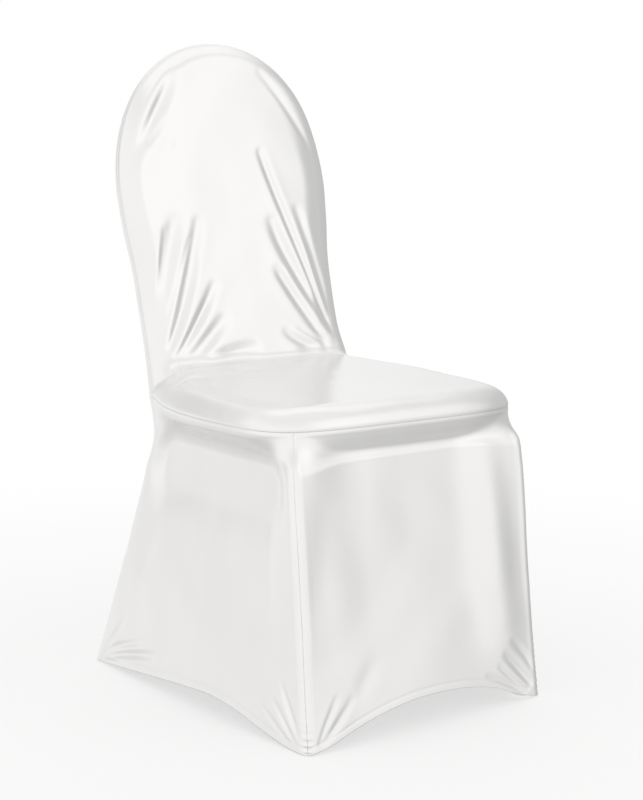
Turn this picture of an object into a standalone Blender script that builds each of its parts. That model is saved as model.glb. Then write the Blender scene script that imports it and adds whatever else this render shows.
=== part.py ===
"""A fitted stretch cover of a round-backed banquet chair, in metres.

Up is +Z and the front of the seat looks towards -Y. The chair itself is left out, so every
piece is a thin hollow shell that keeps the shape the cloth takes over the frame.
"""

import bpy
import numpy as np

CLOTH = 0.002
SEAM_GAP = 0.00017
MIDDLE_Y = 0.0377

# The back: its middle sheet starts behind the seat, leans, and straightens on the way up.
BACK_FOOT_Y = 0.1795
BACK_FOOT_Z = 0.440
BACK_LEAN = np.radians(17.3)
BACK_STRAIGHTENS = np.radians(21.1)
BACK_EDGE = 0.0267
BACK_SWELL = 0.004
CORNER_H = -0.0157
CROWN_H = 0.290
CROWN_HALF_WIDTH = 0.1925
CROWN_RISE = 0.2275
CROWN_POWER = 2.1

# Half width of the back at heights along it.
BACK_WIDTHS = (
    # along, half_width
    (-0.020, 0.1860),
    (0.050, 0.1812),
    (0.120, 0.1808),
    (0.180, 0.1826),
    (0.240, 0.1894),
    (0.290, 0.1925),
)

# The seat in plan: straight-sided behind, a rounded D in front.
SEAM_Z = 0.420
SEAT_MIDDLE_Y = -0.060
SEAT_HALF_WIDTH = 0.2315
SEAT_FRONT = 0.134
SEAT_POWER = 4.2
SEAT_EDGE = 0.036
SEAT_CREASE_Y = 0.157
SEAT_CREASE_H = 0.0215
SEAT_WIDTHS = (
    # y, half_width
    (-0.060, 0.2315),
    (0.000, 0.2290),
    (0.047, 0.2230),
    (0.100, 0.2105),
    (0.132, 0.2010),
    (0.176, 0.1858),
)
SEAT_TOPS = (
    # y, height of the cushion's top at its middle
    (-0.200, 0.4500),
    (-0.120, 0.4535),
    (-0.040, 0.4580),
    (0.060, 0.4650),
    (0.160, 0.4715),
)

# Outer corners of the skirt over the bent legs.
LEG_ROUND = 0.016
FRONT_LEG = (
    # z, x, y
    (0.000, 0.2195, -0.2385),
    (0.060, 0.2180, -0.2310),
    (0.180, 0.2160, -0.2175),
    (0.350, 0.2150, -0.1990),
    (0.430, 0.2110, -0.1890),
)
REAR_LEG = (
    # z, x, y
    (0.000, 0.2050, 0.3150),
    (0.060, 0.2020, 0.2910),
    (0.120, 0.1995, 0.2675),
    (0.240, 0.1945, 0.2210),
    (0.320, 0.1915, 0.1925),
    (0.360, 0.1910, 0.1830),
    (0.395, 0.1905, 0.1800),
    (0.430, 0.1905, 0.1820),
)
SIDE_HEM = (
    # share of the way from the rear leg, height
    (0.00, 0.0000),
    (0.12, 0.0060),
    (0.31, 0.0160),
    (0.49, 0.0250),
    (0.60, 0.0280),
    (0.71, 0.0230),
    (0.82, 0.0105),
    (0.92, 0.0020),
    (1.00, 0.0000),
)
FRONT_HEM = (
    # share of the way from the left leg, height
    (0.00, 0.0000),
    (0.10, 0.0090),
    (0.17, 0.0190),
    (0.25, 0.0290),
    (0.42, 0.0413),
    (0.58, 0.0420),
    (0.70, 0.0370),
    (0.81, 0.0258),
    (0.89, 0.0122),
    (0.97, 0.0026),
    (1.00, 0.0000),
)
REAR_HEM = (
    # share of the way from the left leg, height
    (0.00, 0.0000),
    (0.12, 0.0100),
    (0.28, 0.0290),
    (0.50, 0.0400),
    (0.72, 0.0270),
    (0.88, 0.0090),
    (1.00, 0.0000),
)
# How far down a skirt each row of it lies, as a share of its height.
SKIRT_ROWS = (
    *(0, 0.02, 0.04, 0.058, 0.075, 0.092, 0.112, 0.14, 0.185),
    *(0.26, 0.37, 0.5, 0.63, 0.76, 0.86, 0.935, 1),
)


def through(rows, at, column=1):
    """A smooth curve through one column of a table, at places along its first column."""
    rows = np.asarray(rows, float)
    knots, values = rows[:, 0], rows[:, column]
    slopes = np.gradient(values, knots)
    at = np.clip(at, knots[0], knots[-1])
    k = np.clip(np.searchsorted(knots, at, side="right") - 1, 0, len(knots) - 2)
    step = knots[k + 1] - knots[k]
    t = (at - knots[k]) / step
    rise = (1 + 2 * t) * (1 - t) ** 2 * values[k] + t * t * (3 - 2 * t) * values[k + 1]
    return rise + t * (1 - t) * step * ((1 - t) * slopes[k] - t * slopes[k + 1])


def eased(low, high, at):
    t = np.clip((np.asarray(at, float) - low) / (high - low), 0, 1)
    return t * t * (3 - 2 * t)


def rolled(inside, radius):
    """Height of a quarter-round edge at a distance inside it, as a share of its radius."""
    t = 1 - np.clip(inside / radius, 0, 1)
    return np.sqrt(np.maximum(1 - t * t, 0))


def unit(vectors):
    return vectors / np.maximum(np.linalg.norm(vectors, axis=-1, keepdims=True), 1e-12)


def folds_at(rows, across, up):
    """How deep the folds of a table press a surface in, at points of its plane."""
    deep = np.zeros(np.broadcast(across, up).shape)
    for x0, y0, x1, y1, x2, y2, width, depth in rows:
        t = np.linspace(0, 1, 13)
        line_x = (1 - t) ** 2 * x0 + 2 * t * (1 - t) * x1 + t * t * x2
        line_y = (1 - t) ** 2 * y0 + 2 * t * (1 - t) * y1 + t * t * y2
        best = np.full(deep.shape, 9.0)
        place = np.zeros(deep.shape)
        for k in range(12):
            run_x, run_y = line_x[k + 1] - line_x[k], line_y[k + 1] - line_y[k]
            part = (across - line_x[k]) * run_x + (up - line_y[k]) * run_y
            part = np.clip(part / (run_x**2 + run_y**2), 0, 1)
            off = np.hypot(across - line_x[k] - part * run_x, up - line_y[k] - part * run_y)
            nearer = off < best
            best = np.where(nearer, off, best)
            place = np.where(nearer, (k + part) / 12, place)
        fade = np.sin(np.pi * np.clip(0.08 + 0.84 * place, 0, 1)) ** 0.6
        trough = np.exp(-((best / width) ** 2)) - 0.35 * np.exp(-((best / width / 2.1) ** 2))
        deep += depth * fade * trough
    return deep


# Folds that the pull of the frame leaves in the cloth. Each runs from, by and to a place of its
# own piece: across and along the back, y and z of a side, x and z of the front.
BACK_FOLDS = (
    # from, from, by, by, to, to, width, depth
    (-0.101, 0.460, -0.124, 0.414, -0.177, 0.336, 0.011, 0.0045),
    (-0.116, 0.473, -0.149, 0.430, -0.170, 0.390, 0.008, 0.0030),
    (-0.177, 0.095, -0.168, 0.175, -0.154, 0.222, 0.009, 0.0030),
    (-0.172, 0.055, -0.150, 0.146, -0.098, 0.251, 0.011, 0.0045),
    (-0.153, 0.055, -0.126, 0.122, -0.079, 0.197, 0.009, 0.0048),
    (-0.122, 0.060, -0.099, 0.095, -0.071, 0.132, 0.008, 0.0025),
    (-0.165, 0.030, -0.120, 0.045, -0.066, 0.085, 0.008, 0.0030),
    (0.047, 0.355, 0.093, 0.220, 0.160, 0.049, 0.009, 0.0036),
    (0.051, 0.248, 0.095, 0.151, 0.149, 0.070, 0.009, 0.0042),
    (0.055, 0.152, 0.089, 0.088, 0.141, 0.041, 0.009, 0.0036),
    (0.058, 0.068, 0.093, 0.048, 0.146, 0.032, 0.007, 0.0022),
    (0.112, 0.255, 0.142, 0.171, 0.161, 0.081, 0.009, 0.0032),
)
SEAT_FOLDS = (
    # from, from, by, by, to, to, width, depth
    (-0.044, 0.042, 0.030, 0.052, 0.132, 0.087, 0.010, 0.0018),
)
REAR_FOLDS = (
    # from, from, by, by, to, to, width, depth
    (-0.165, -0.010, -0.130, 0.070, -0.070, 0.150, 0.013, 0.0036),
    (-0.150, 0.060, -0.140, 0.150, -0.100, 0.230, 0.012, 0.0030),
    (0.165, -0.015, 0.120, 0.060, 0.060, 0.110, 0.013, 0.0036),
    (0.155, 0.050, 0.140, 0.140, 0.090, 0.240, 0.012, 0.0030),
    (-0.140, -0.110, -0.110, -0.230, -0.120, -0.360, 0.018, 0.0040),
    (0.130, -0.120, 0.120, -0.240, 0.110, -0.340, 0.018, 0.0036),
)
LEFT_FOLDS = (
    # from, from, by, by, to, to, width, depth
    (-0.128, 0.340, -0.150, 0.250, -0.190, 0.080, 0.016, 0.0022),
    (0.250, 0.030, 0.200, 0.052, 0.130, 0.062, 0.011, 0.0020),
    (-0.190, 0.070, -0.160, 0.060, -0.120, 0.032, 0.011, 0.0018),
)
RIGHT_FOLDS = (
    # from, from, by, by, to, to, width, depth
    (-0.125, 0.330, -0.150, 0.240, -0.180, 0.090, 0.016, 0.0022),
    (0.245, 0.034, 0.190, 0.058, 0.120, 0.060, 0.011, 0.0020),
)
FRONT_FOLDS = (
    # from, from, by, by, to, to, width, depth
    (-0.163, 0.350, -0.182, 0.250, -0.180, 0.120, 0.015, 0.0034),
    (0.170, 0.360, 0.187, 0.245, 0.184, 0.110, 0.015, 0.0034),
    (0.150, 0.095, 0.175, 0.062, 0.195, 0.030, 0.010, 0.0026),
    (-0.185, 0.085, -0.170, 0.055, -0.150, 0.030, 0.010, 0.0022),
)


def back_width(h):
    above = np.clip((h - CROWN_H) / CROWN_RISE, 0, 1)
    crown = CROWN_HALF_WIDTH * (1 - above**CROWN_POWER) ** (1 / CROWN_POWER)
    return np.where(h > CROWN_H, crown, through(BACK_WIDTHS, h))


def back_point(x, h, depth):
    """A point of the back, so far in front of its middle sheet."""
    lean = BACK_LEAN - BACK_STRAIGHTENS * h
    y = BACK_FOOT_Y + (np.cos(lean) - np.cos(BACK_LEAN)) / BACK_STRAIGHTENS
    z = BACK_FOOT_Z + (np.sin(BACK_LEAN) - np.sin(lean)) / BACK_STRAIGHTENS
    return np.stack(np.broadcast_arrays(x, y - depth * np.cos(lean), z + depth * np.sin(lean)), -1)


def seat_edge_z(y):
    """The seat's side seam, which climbs a little where it meets the back."""
    return SEAM_Z + 0.005 * eased(0.110, 0.1748, y)


def seat_point(x, y, inside):
    top = through(SEAT_TOPS, y) - 0.003 * (x / 0.2) ** 2
    edge = seat_edge_z(y)
    return np.stack(np.broadcast_arrays(x, y, edge + (top - edge) * rolled(inside, SEAT_EDGE)), -1)


def rays_of(outline, centre, edge, rings, turns):
    """Points from each place of an outline in to its own centre, and how far inside it they lie."""
    along = unit(np.gradient(outline, axis=0))
    reach = centre - outline
    length = np.linalg.norm(reach, axis=1)
    square = np.abs(along[:, 0] * reach[:, 1] - along[:, 1] * reach[:, 0]) / length
    square = np.maximum(square, 0.6)
    turn = np.linspace(0, np.pi / 2, turns + 1)
    near = edge * (1 - np.cos(turn))
    first = near[None, :] / (length * square)[:, None]
    rest = np.linspace(0, 1, rings - turns + 1)[1:]
    share = np.concatenate([first, first[:, -1:] + (1 - first[:, -1:]) * rest[None, :]], axis=1)
    points = outline[:, None, :] + reach[:, None, :] * share[..., None]
    return points, share * (length * square)[:, None], share


RINGS = 18
REAR_RINGS = 11
TURNS = 5
SIDE_STEPS = 15
CROWN_STEPS = 13
SEAT_SIDE_STEPS = 8
SEAT_CORNER_STEPS = 7
SEAT_FRONT_STEPS = 9
FILLET = 0.018
EDGE_FILLET = 0.004


def half_back():
    """One side of the back's outline, from the seat's corner to the middle of the crown."""
    rise = np.linspace(CORNER_H + EDGE_FILLET, CROWN_H, SIDE_STEPS + 1)
    side = np.stack([back_width(rise), rise], -1)
    turn = np.linspace(0, np.pi / 2, CROWN_STEPS + 1)[1:]
    bend = 2 / CROWN_POWER
    x = CROWN_HALF_WIDTH * np.cos(turn).clip(0) ** bend
    crown = np.stack([x, CROWN_H + CROWN_RISE * np.sin(turn) ** bend], -1)
    outline = np.concatenate([side, crown])
    centre = np.stack([np.zeros(len(outline)), np.minimum(outline[:, 1], CROWN_H)], -1)
    return outline, centre


def half_seat():
    """One side of the seat's outline in plan, from the back's corner to the middle of its front."""
    corner_y = back_point(0, CORNER_H, 0)[1]
    y = np.linspace(corner_y - EDGE_FILLET, SEAT_MIDDLE_Y, SEAT_SIDE_STEPS + 1)
    side = np.stack([through(SEAT_WIDTHS, y), y], -1)
    # The turn is counted on a circle, so that 45 degrees is the corner where the leg seam starts.
    to_corner = 45 * (1 - np.linspace(1, 0, SEAT_CORNER_STEPS + 1)[1:] ** 1.5)
    past = 45 + 45 * np.linspace(0, 1, SEAT_FRONT_STEPS + 1)[1:] ** 1.35
    turn = np.radians(np.concatenate([to_corner, past]))
    power = (np.abs(np.cos(turn)) ** SEAT_POWER + np.sin(turn) ** SEAT_POWER) ** (1 / SEAT_POWER)
    x = SEAT_HALF_WIDTH * np.cos(turn) / power
    front = np.stack([np.where(x < 1e-9, 0, x), SEAT_MIDDLE_Y - SEAT_FRONT * np.sin(turn) / power], -1)
    outline = np.concatenate([side, front])
    centre = np.stack([np.zeros(len(outline)), np.maximum(outline[:, 1], SEAT_MIDDLE_Y)], -1)
    return outline, centre


def crease_shares(inside):
    return rolled(inside, 0.030)


def back_rays(side, front):
    """The rays of one half of the back on its front or rear face."""
    outline, centre = half_back()
    flat, inside, share = rays_of(outline, centre, BACK_EDGE, RINGS if front else REAR_RINGS, TURNS)
    x, h = flat[..., 0] * side, flat[..., 1]
    if front:
        # Towards the seat the rows end on the crease instead of at the corner's height.
        floor = CORNER_H + (SEAT_CREASE_H - CORNER_H) * crease_shares(inside)
        fillet = EDGE_FILLET + (FILLET - EDGE_FILLET) * crease_shares(inside - 0.004)
        low = CORNER_H + EDGE_FILLET
        fraction = np.clip((h - low) / (CROWN_H - low), 0, 1)
        h = np.where(h < CROWN_H, floor + fillet + fraction * (CROWN_H - floor - fillet), h)
    depth = BACK_EDGE * rolled(inside, BACK_EDGE) + BACK_SWELL * eased(0, 0.12, inside)
    if front:
        depth = depth - folds_at(BACK_FOLDS, x, h) * eased(0.002, 0.020, inside)
        return back_point(x, h, depth)
    depth = depth - folds_at(REAR_FOLDS, x, h) * eased(0.002, 0.020, inside)
    return back_point(x, h, -depth)


def seat_rays(side):
    outline, centre = half_seat()
    flat, inside, share = rays_of(outline, centre, SEAT_EDGE, RINGS, TURNS)
    x, y = flat[..., 0] * side, flat[..., 1]
    corner_y = back_point(0, CORNER_H, 0)[1]
    back = corner_y - (corner_y - SEAT_CREASE_Y) * crease_shares(inside)
    fillet = EDGE_FILLET + (FILLET - EDGE_FILLET) * crease_shares(inside - 0.004)
    high = corner_y - EDGE_FILLET
    fraction = np.clip((high - y) / (high - SEAT_MIDDLE_Y), 0, 1)
    y = np.where(y > SEAT_MIDDLE_Y, back - fillet - fraction * (back - fillet - SEAT_MIDDLE_Y), y)
    points = seat_point(x, y, inside)
    points[..., 2] -= folds_at(SEAT_FOLDS, x, y) * eased(0.002, 0.020, inside)
    return points


def fillet_rays(back_end, seat_end, side):
    """The rows that carry the cloth round the crease between back and seat."""
    half = through(BACK_WIDTHS, CORNER_H)
    outline = np.array([[half, 0.0], [half, 1e-6]])
    flat, inside, share = rays_of(outline, np.zeros((2, 2)), BACK_EDGE, RINGS, TURNS)
    x, inside = flat[0, :, 0] * side, inside[0]
    crease_h = CORNER_H + (SEAT_CREASE_H - CORNER_H) * crease_shares(inside)
    depth = BACK_EDGE * rolled(inside, BACK_EDGE) + BACK_SWELL * eased(0, 0.12, inside)
    knee = back_point(x, crease_h, depth)
    rows = []
    for t in (0.25, 0.5, 0.75):
        row = (1 - t) ** 2 * back_end + 2 * t * (1 - t) * knee + t * t * seat_end
        straight = back_end + (knee - back_end) * min(2 * t, 1) + (seat_end - knee) * max(2 * t - 1, 0)
        row[0] = straight[0]
        rows.append(row)
    return np.array(rows)


def front_panel():
    """Inside of the back and the top of the seat: one loop of rays, each from the edge to the middle."""
    loop = []
    for side in (-1, 1):
        back = back_rays(side, True)
        seat = seat_rays(side)
        crease = fillet_rays(back[0], seat[0], side)
        half = np.concatenate([back[::-1], crease, seat])
        loop.append(half if side == 1 else half[::-1])
    # Down the right from the crown, then up the left from the front; both middles are shared.
    return np.concatenate([loop[1], loop[0][1:-1]])


def seat_seam(side):
    """Edge of the front panel from the back's corner to the leg's corner, and on to the front's middle."""
    back = back_rays(side, True)
    seat = seat_rays(side)
    crease = fillet_rays(back[0], seat[0], side)
    edge = np.concatenate([crease[1:, 0], seat[:, 0]])
    corner = 2 + SEAT_SIDE_STEPS + SEAT_CORNER_STEPS
    return edge[: corner + 1], edge[corner:]


def legs_at(rows, z):
    return through(rows, z, 1), through(rows, z, 2)


def shares_along(points):
    steps = np.linalg.norm(np.diff(points, axis=0), axis=1)
    return np.concatenate([[0], np.cumsum(steps)]) / steps.sum()


def corner_inset(along, length):
    """How far a leg's round corner lies inside the flat face near either end of it."""
    near = np.minimum(along, length - along)
    t = np.clip(LEG_ROUND - near, 0, LEG_ROUND)
    return LEG_ROUND - np.sqrt(LEG_ROUND**2 - t * t)


def arch_inside(front_gap, rear_gap, below):
    """Distance inside the arch that the bent side tube draws."""
    near = np.minimum(front_gap - 0.020, rear_gap - 0.018)
    bend = 0.050
    a, b = np.maximum(bend - near, 0), np.maximum(bend - below, 0)
    return bend - np.hypot(a, b)


def pinned(grid, share, first, last):
    """The sheet eased over at both ends, so that it meets its neighbours on their seam lines."""
    start = (1 - share)[..., None] ** 12
    end = share[..., None] ** 12
    return grid + (first - grid[:, 0])[:, None, :] * start + (last - grid[:, -1])[:, None, :] * end


def side_skirt(side, rear_seam, front_seam):
    seam, _ = seat_seam(side)
    share = shares_along(seam)[None, :]
    down = np.array(SKIRT_ROWS)[:, None]
    hem = through(SIDE_HEM, share)
    z = seam[None, :, 2] * (1 - down) + hem * down
    drop = seam[None, :, 2] - z
    run = unit(np.gradient(seam[:, :2], axis=0))
    inward = np.stack([-run[:, 1], run[:, 0]], -1) * -side
    corner = np.minimum(share, 1 - share) * 0.42
    near_corner = np.exp(-((corner / 0.050) ** 2))
    band = (0.30 * drop**2 / 0.03 + 0.05 * drop) * (1 - near_corner)
    held = seam[None, :, :2] + inward[None] * band[..., None]
    rear_x, rear_y = legs_at(REAR_LEG, z)
    front_x, front_y = legs_at(FRONT_LEG, z)
    length = np.hypot(front_x - rear_x, front_y - rear_y)
    start = LEG_ROUND * (1 - np.sqrt(0.5))
    along = start + share * (length - 2 * start)
    part = along / length
    x = rear_x + (front_x - rear_x) * part
    y = rear_y + (front_y - rear_y) * part
    arch = arch_inside(length - along, along, 0.398 - z)
    recess = 0.011 * eased(-0.004, 0.022, arch) * (0.25 + 0.75 * eased(0.02, 0.34, z))
    belly = 0.006 * np.sin(np.pi * part) * (1 - eased(0.05, 0.30, z))
    x = x - corner_inset(along, length) - recess + belly
    folds = LEFT_FOLDS if side < 0 else RIGHT_FOLDS
    x = x - folds_at(folds, y, z) * eased(0, 0.05, np.minimum(share, 1 - share))
    leg = np.stack([x * side, y], -1)
    low = 0.010 - 0.010 * near_corner
    high = 0.038 + 0.022 * near_corner
    turned = eased(low, high, drop)[..., None]
    plan = held * (1 - turned) + leg * turned
    grid = np.concatenate([plan, z[..., None]], axis=-1)
    return pinned(grid, share, rear_seam, front_seam)


def front_skirt():
    _, left = seat_seam(-1)
    _, right = seat_seam(1)
    seam = np.concatenate([left, right[::-1][1:]])
    share = shares_along(seam)[None, :]
    down = np.array(SKIRT_ROWS)[:, None]
    hem = through(FRONT_HEM, share)
    z = seam[None, :, 2] * (1 - down) + hem * down
    drop = seam[None, :, 2] - z
    run = unit(np.gradient(seam[:, :2], axis=0))
    inward = np.stack([-run[:, 1], run[:, 0]], -1)
    corner = np.minimum(share, 1 - share) * 0.40
    near_corner = np.exp(-((corner / 0.050) ** 2))
    band = (0.42 * drop**2 / 0.03 + 0.10 * drop) * (1 - near_corner)
    held = seam[None, :, :2] + inward[None] * band[..., None]
    leg_x, leg_y = legs_at(FRONT_LEG, z)
    start = LEG_ROUND * (1 - np.sqrt(0.5))
    length = 2 * leg_x
    along = start + share * (length - 2 * start)
    x = along - leg_x
    arch = arch_inside(length - along, along, 0.400 - z)
    recess = 0.014 * eased(-0.004, 0.030, arch) * eased(0.02, 0.36, z)
    belly = 0.004 * np.sin(np.pi * along / length) * (1 - eased(0.05, 0.25, z))
    y = leg_y + corner_inset(along, length) + recess - belly
    y = y + folds_at(FRONT_FOLDS, x, z) * eased(0, 0.05, np.minimum(share, 1 - share))
    leg = np.stack([x, y], -1)
    low = 0.022 - 0.022 * near_corner
    high = 0.046 + 0.014 * near_corner
    turned = eased(low, high, drop)[..., None]
    plan = held * (1 - turned) + leg * turned
    return np.concatenate([plan, z[..., None]], axis=-1)


def rear_upper():
    """Outside of the back down to the level of the seat's corners."""
    left, right = back_rays(-1, False), back_rays(1, False)
    corner = []
    for side, rays in ((-1, left), (1, right)):
        # Two short rows beside the crease rows of the front panel.
        drop = np.array([0, 0.5])[:, None] * EDGE_FILLET
        x = rays[0, :, 0][None, :] * np.ones((2, 1))
        outline, centre = half_back()
        flat, inside, share = rays_of(outline, centre, BACK_EDGE, REAR_RINGS, TURNS)
        depth = BACK_EDGE * rolled(inside[0], BACK_EDGE) + BACK_SWELL * eased(0, 0.12, inside[0])
        depth = depth - folds_at(REAR_FOLDS, x, CORNER_H + drop) * eased(0.002, 0.020, inside[0])
        edge = through(BACK_WIDTHS, CORNER_H + drop)
        x = x * edge / np.abs(rays[0, 0, 0])
        corner.append(back_point(x, CORNER_H + drop, -depth))
    return np.concatenate([corner[0], left]), np.concatenate([corner[1], right])


def rear_lower(left_row, right_row):
    """The rear panel below the seat's corners, down to its hem between the rear feet."""
    top = np.concatenate([left_row, right_row[::-1][1:]])
    share = (top[:, 0] - top[0, 0]) / (top[-1, 0] - top[0, 0])
    share = share[None, :]
    corner_z = top[0, 2]
    down = np.array(SKIRT_ROWS)[:, None]
    hem = through(REAR_HEM, share)
    z = top[None, :, 2] * (1 - down) + hem * down
    drop = corner_z * down
    leg_x, leg_y = legs_at(REAR_LEG, z)
    start = LEG_ROUND * (1 - np.sqrt(0.5))
    length = 2 * leg_x
    along = start + share * (length - 2 * start)
    x = along - leg_x
    bulge = 0.030 * eased(0.02, 0.40, z) * np.sin(np.pi * along / length) ** 0.8
    y = leg_y - corner_inset(along, length) + bulge
    y = y - folds_at(REAR_FOLDS, x, z - 0.44) * eased(0, 0.05, np.minimum(share, 1 - share))
    straight_y = top[None, :, 1] - drop * np.tan(BACK_LEAN)
    straight_x = top[None, :, 0] + 0 * drop
    turned = eased(0, 0.110, drop)
    x = straight_x * (1 - turned) + x * turned
    y = straight_y * (1 - turned) + y * turned
    return np.stack([x, y, z], -1)


def grid_triangles(rows, columns, closed=False):
    """Index triples of a sheet of rows and columns, cut across the shorter way later."""
    quads = []
    for i in range(rows if closed else rows - 1):
        for j in range(columns - 1):
            a, b = i * columns + j, i * columns + j + 1
            c, d = ((i + 1) % rows) * columns + j + 1, ((i + 1) % rows) * columns + j
            quads.append((a, b, c, d))
    return np.array(quads)


def welded(points, quads):
    """The sheet as triangles, with points that coincide made one."""
    keys = np.round(points * 1e6).astype(np.int64)
    _, first, index = np.unique(keys, axis=0, return_index=True, return_inverse=True)
    index = index.reshape(-1)
    points = points[first]
    quads = index[quads]
    triangles = []
    for a, b, c, d in quads:
        if np.sum((points[a] - points[c]) ** 2) <= np.sum((points[b] - points[d]) ** 2):
            pair = ((a, b, c), (a, c, d))
        else:
            pair = ((a, b, d), (b, c, d))
        triangles.extend(t for t in pair if len(set(t)) == 3)
    return points, np.array(triangles)


def joined(sheets):
    points = np.concatenate([p.reshape(-1, 3) for p, _ in sheets])
    quads, start = [], 0
    for p, q in sheets:
        quads.append(q + start)
        start += p.reshape(-1, 3).shape[0]
    return welded(points, np.concatenate(quads))


def facing(points, triangles, outward):
    """The triangles turned so that the sheet faces the given way at its first vertex's side."""
    a, b, c = points[triangles[:, 0]], points[triangles[:, 1]], points[triangles[:, 2]]
    total = np.cross(b - a, c - a)
    middle = (a + b + c) / 3
    towards = np.sum(total * outward(middle))
    return triangles if towards > 0 else triangles[:, ::-1]


def sheets():
    """Each piece of cloth as its outer face."""
    found = {}
    loop = front_panel()
    panel = welded(loop.reshape(-1, 3), grid_triangles(*loop.shape[:2], closed=True))
    found["front_panel"] = (*panel, lambda p: np.broadcast_to([0.0, -1.0, 1.0], p.shape))
    left, right = rear_upper()
    upper = np.concatenate([left, right[::-1][1:]])
    lower = rear_lower(left[0], right[0])
    upper_part = (upper, grid_triangles(*upper.shape[:2]))
    lower_part = (lower, grid_triangles(*lower.shape[:2])[:, ::-1])
    panel = joined([upper_part, lower_part])
    found["rear_panel"] = (*panel, lambda p: np.broadcast_to([0.0, 1.0, 0.0], p.shape))
    front = front_skirt()
    for name, side in (("side_skirt_left", -1), ("side_skirt_right", 1)):
        column = 0 if side < 0 else -1
        grid = side_skirt(side, lower[:, column], front[:, column])
        panel = welded(grid.reshape(-1, 3), grid_triangles(*grid.shape[:2]))
        found[name] = (*panel, lambda p, side=side: np.broadcast_to([float(side), 0.0, 0.0], p.shape))
    panel = welded(front.reshape(-1, 3), grid_triangles(*front.shape[:2]))
    found["front_skirt"] = (*panel, lambda p: np.broadcast_to([0.0, -1.0, 0.0], p.shape))
    return {name: (p, facing(p, t, way)) for name, (p, t, way) in found.items()}


def border_edges(triangles):
    """Edges with one triangle only, in the order that triangle has them, with its third point."""
    found = {}
    for a, b, c in triangles:
        for i, j, k in ((a, b, c), (b, c, a), (c, a, b)):
            found[(i, j)] = k
    return [(i, j, k) for (i, j), k in found.items() if (j, i) not in found]


def shells(pieces):
    """Each outer face given the cloth's thickness, and parted from its neighbours at the seams."""
    shared, owners = {}, {}
    for name, (points, triangles) in pieces.items():
        a, b, c = (points[triangles[:, k]] for k in range(3))
        normal = np.cross(b - a, c - a)
        at = np.zeros_like(points)
        for k in range(3):
            np.add.at(at, triangles[:, k], normal)
        at = unit(at)
        for key, value in zip(map(tuple, np.round(points * 2e4).astype(int)), at):
            shared[key] = shared.get(key, 0) + value
            owners.setdefault(key, set()).add(name)
    solids = {}
    for name, (points, triangles) in pieces.items():
        keys = list(map(tuple, np.round(points * 2e4).astype(int)))
        normals = unit(np.array([shared[k] for k in keys]))
        edges = border_edges(triangles)
        pulls = {}
        for i, j, k in edges:
            run = unit(points[j] - points[i])
            inward = points[k] - points[i]
            inward = unit(inward - run * (inward @ run))
            both = owners[keys[i]] & owners[keys[j]]
            for v in (i, j):
                pulls.setdefault(v, []).append((inward, SEAM_GAP if len(both) > 1 else 0.0))
                if len(both) == 1:
                    # A hem is cut level, so that its inner edge is no lower than its outer one.
                    normals[v] = unit(normals[v] * [1, 1, 0])
        outer = points.copy()
        for v, rows in pulls.items():
            ways = np.array([r[0] for r in rows])
            outer[v] += np.linalg.pinv(ways, rcond=0.2) @ np.array([r[1] for r in rows])
        inner = outer - normals * CLOTH
        count = len(points)
        faces = [tuple(t) for t in triangles]
        faces += [(a + count, c + count, b + count) for a, b, c in triangles]
        for i, j, k in edges:
            faces += [(j, i, i + count), (j, i + count, j + count)]
        solids[name] = (np.concatenate([outer, inner]), faces)
    return solids


def foot_pocket(side, rows):
    """A small closed cup inside the corner of the skirt, which takes one foot of the chair.

    It stands straight up for its first centimetre, and leans with the leg above that.
    """
    radius, wall, clear, height, around = 0.0185, 0.0015, 0.0008, 0.056, 20
    straight = 0.010
    lean = 1 if rows is FRONT_LEG else -1
    turn = np.linspace(0, 2 * np.pi, around, endpoint=False)
    rings = []
    levels = ((0.000, 0.0070), (0.000, 0.0006), (straight, 0.0), (0.030, 0.0), (height, 0.0005))
    inner = ((height, 0.0005), (0.030, 0.0), (straight, 0.0), (wall, 0.0006), (wall, 0.0070))
    off = radius + CLOTH + clear
    for cup, thin in ((levels, 0), (inner, wall)):
        for z, narrower in cup:
            x, y = legs_at(rows, max(z, straight))
            r = radius - thin - narrower
            across = side * (x - off) + r * np.cos(turn)
            along = y + lean * off + r * np.sin(turn)
            rings.append(np.stack([across, along, 0 * turn + z], -1))
    points = np.concatenate(rings + [rings[0].mean(0, keepdims=True), rings[-1].mean(0, keepdims=True)])
    count, faces = len(rings), []
    for i in range(count - 1):
        for j in range(around):
            a, b = i * around + j, i * around + (j + 1) % around
            faces += [(a, b, b + around), (a, b + around, a + around)]
    under, over = len(points) - 2, len(points) - 1
    for j in range(around):
        k = (j + 1) % around
        faces += [(under, k, j), (over, (count - 1) * around + j, (count - 1) * around + k)]
    return points, faces


def build():
    for thing in list(bpy.data.objects):
        bpy.data.objects.remove(thing)
    solids = shells(sheets())
    for name, side, rows in (
        ("foot_pocket_front_left", -1, FRONT_LEG),
        ("foot_pocket_front_right", 1, FRONT_LEG),
        ("foot_pocket_rear_left", -1, REAR_LEG),
        ("foot_pocket_rear_right", 1, REAR_LEG),
    ):
        solids[name] = foot_pocket(side, rows)
    for name, (points, faces) in solids.items():
        mesh = bpy.data.meshes.new(name)
        corners = [tuple(int(v) for v in face) for face in faces]
        mesh.from_pydata((points - [0, MIDDLE_Y, 0]).tolist(), [], corners)
        mesh.update()
        piece = bpy.data.objects.new(name, mesh)
        bpy.context.scene.collection.objects.link(piece)
        material = bpy.data.materials.new(name)
        material.use_nodes = True
        surface = material.node_tree.nodes["Principled BSDF"]
        surface.inputs["Base Color"].default_value = (0.86, 0.87, 0.88, 1)
        surface.inputs["Roughness"].default_value = 0.42
        mesh.materials.append(material)


build()
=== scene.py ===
"""Looks of a fitted stretch cover for a round-backed banquet chair, in metres.

Every piece of cloth is a thin sheet, drawn tight over the form of the chair that it was on.
"""

import bmesh
import bpy
import numpy as np
from mathutils import Matrix, Vector


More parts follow.
